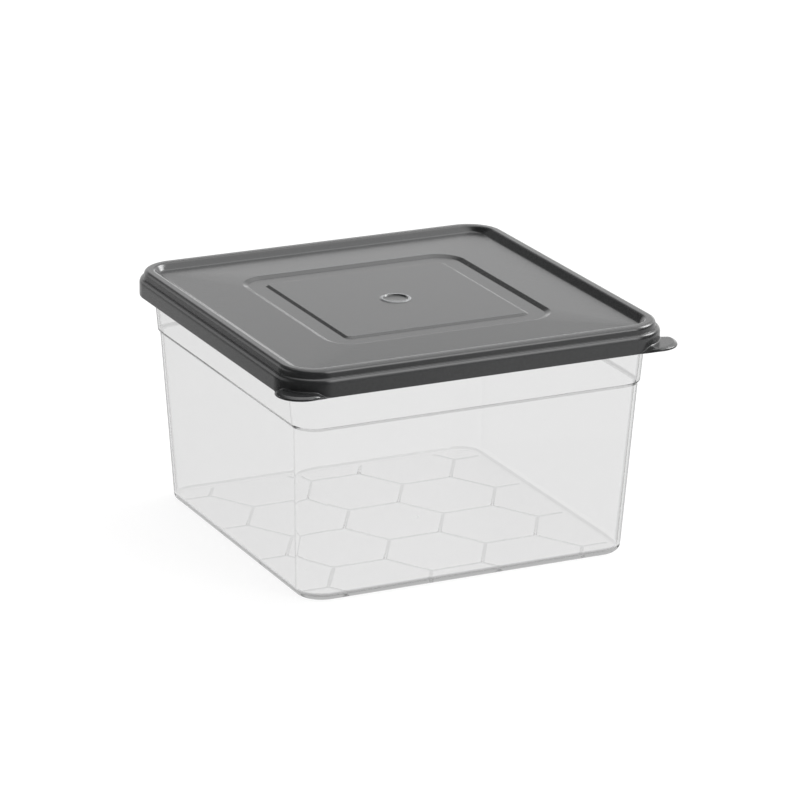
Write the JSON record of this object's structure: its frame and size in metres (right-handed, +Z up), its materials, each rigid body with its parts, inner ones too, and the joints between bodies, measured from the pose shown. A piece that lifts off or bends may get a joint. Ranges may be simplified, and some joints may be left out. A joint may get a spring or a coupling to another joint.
{
  "type": "food storage box",
  "caption": "Square clear plastic food box with leaning walls, a stepped collar and honeycomb base lines, closed by a grey press-on lid with corner pull tabs and a sunk panel.",
  "frame": {"origin": "centre of the tub's flat underside, on the table", "axes": "+Z up through the lid; X along the side that has a pull tab at both ends; the two tabs are on the -Y corners"},
  "size_m": [0.1612, 0.1581, 0.0918],
  "materials": {
    "clear_plastic": "clear and glossy",
    "grey_plastic": "dark grey, fine grain on the panel, satin on the rim"
  },
  "bodies": {
    "tub": {"tub": "clear_plastic"},
    "lid": {"lid": "grey_plastic"}
  },
  "joints": [
    {"name": "lid_lift", "type": "slide", "parent": "tub", "child": "lid", "axis": [0, 0, 1], "range_m": [0, 0.12]}
  ]
}
